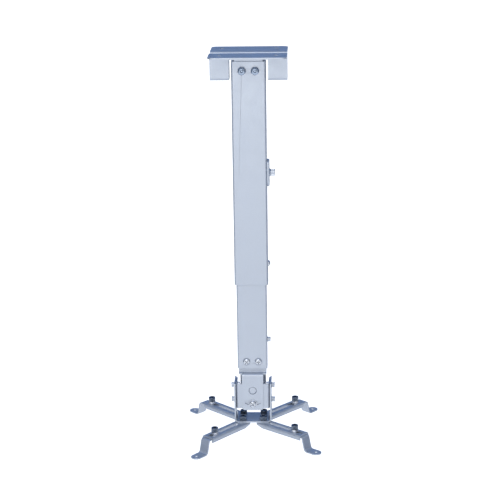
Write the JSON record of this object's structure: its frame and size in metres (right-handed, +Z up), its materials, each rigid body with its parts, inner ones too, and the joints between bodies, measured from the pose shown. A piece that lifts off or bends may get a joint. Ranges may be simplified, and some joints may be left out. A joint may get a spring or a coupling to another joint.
{
  "type": "projector ceiling mount",
  "caption": "Telescopic ceiling mount: a folded bracket, a two-part rectangular column, and a head that tilts and rolls, with four slotted arms whose feet slide and swing.",
  "frame": {"origin": "centre of the four ceiling holes, on the ceiling face", "axes": "+Z up into the ceiling, -Y to the front where the roll pivot is, +X to the side of the height lock"},
  "size_m": [0.209, 0.2048, 0.588],
  "materials": {
    "powder_coat": "satin",
    "zinc": "satin"
  },
  "bodies": {
    "base": {"ceiling_bracket": "powder_coat", "top_bolts": "zinc", "top_bolt_washers": "zinc", "top_bolt_nuts": "zinc", "outer_column": "powder_coat", "height_lock_plate": "powder_coat", "height_lock_bolt": "zinc", "column_guide_screw": "zinc"},
    "column": {"inner_column": "powder_coat", "stop_screw": "zinc", "neck_bracket": "powder_coat", "neck_screws": "zinc", "neck_nuts": "zinc"},
    "roll": {"roll_bracket": "powder_coat", "roll_pivot_rivet": "zinc", "roll_lock_washer": "zinc", "roll_lock_screw": "zinc", "roll_lock_nut": "zinc", "tilt_pivot_bolts": "zinc", "tilt_lock_bolts": "zinc", "tilt_bolt_nuts": "zinc"},
    "tilt": {"tilt_bracket": "powder_coat", "arm_pivot_bolts": "zinc", "arm_pivot_nuts": "zinc"},
    "arm_front_left": {"arm_front_left": "powder_coat"},
    "foot_front_left": {"foot_strip_front_left": "powder_coat", "foot_lock_bolt_front_left": "zinc", "foot_lock_washers_front_left": "zinc", "foot_lock_nut_front_left": "zinc"},
    "arm_front_right": {"arm_front_right": "powder_coat"},
    "foot_front_right": {"foot_strip_front_right": "powder_coat", "foot_lock_bolt_front_right": "zinc", "foot_lock_washers_front_right": "zinc", "foot_lock_nut_front_right": "zinc"},
    "arm_rear_left": {"arm_rear_left": "powder_coat"},
    "foot_rear_left": {"foot_strip_rear_left": "powder_coat", "foot_lock_bolt_rear_left": "zinc", "foot_lock_washers_rear_left": "zinc", "foot_lock_nut_rear_left": "zinc"},
    "arm_rear_right": {"arm_rear_right": "powder_coat"},
    "foot_rear_right": {"foot_strip_rear_right": "powder_coat", "foot_lock_bolt_rear_right": "zinc", "foot_lock_washers_rear_right": "zinc", "foot_lock_nut_rear_right": "zinc"}
  },
  "joints": [
    {"name": "column_slide", "type": "slide", "parent": "base", "child": "column", "axis": [0, 0, 1], "range_m": [-0.045, 0.08]},
    {"name": "head_roll", "type": "hinge", "parent": "column", "child": "roll", "pos_m": [0, -0.0178, -0.5112], "axis": [0, 1, 0], "range_deg": [-15, 15]},
    {"name": "head_tilt", "type": "hinge", "parent": "roll", "child": "tilt", "pos_m": [0, 0, -0.5085], "axis": [1, 0, 0], "range_deg": [-15, 15]},
    {"name": "arm_swing_front_left", "type": "hinge", "parent": "tilt", "child": "arm_front_left", "pos_m": [-0.0155, -0.012, -0.56305], "axis": [0, 0, 1], "range_deg": [-40, 40]},
    {"name": "foot_slide_front_left", "type": "slide", "parent": "arm_front_left", "child": "foot_front_left", "axis": [-0.6293, -0.7771, 0], "range_m": [-0.039, 0.0095]},
    {"name": "arm_swing_front_right", "type": "hinge", "parent": "tilt", "child": "arm_front_right", "pos_m": [0.0155, -0.012, -0.56305], "axis": [0, 0, 1], "range_deg": [-40, 40]},
    {"name": "foot_slide_front_right", "type": "slide", "parent": "arm_front_right", "child": "foot_front_right", "axis": [0.7771, -0.6293, 0], "range_m": [-0.037, 0.0115]},
    {"name": "arm_swing_rear_left", "type": "hinge", "parent": "tilt", "child": "arm_rear_left", "pos_m": [-0.0155, 0.012, -0.56305], "axis": [0, 0, 1], "range_deg": [-40, 40]},
    {"name": "foot_slide_rear_left", "type": "slide", "parent": "arm_rear_left", "child": "foot_rear_left", "axis": [-0.7254, 0.6884, 0], "range_m": [-0.047, 0.0015]},
    {"name": "arm_swing_rear_right", "type": "hinge", "parent": "tilt", "child": "arm_rear_right", "pos_m": [0.0155, 0.012, -0.56305], "axis": [0, 0, 1], "range_deg": [-40, 40]},
    {"name": "foot_slide_rear_right", "type": "slide", "parent": "arm_rear_right", "child": "foot_rear_right", "axis": [0.6691, 0.7431, 0], "range_m": [-0.046, 0.0025]}
  ]
}
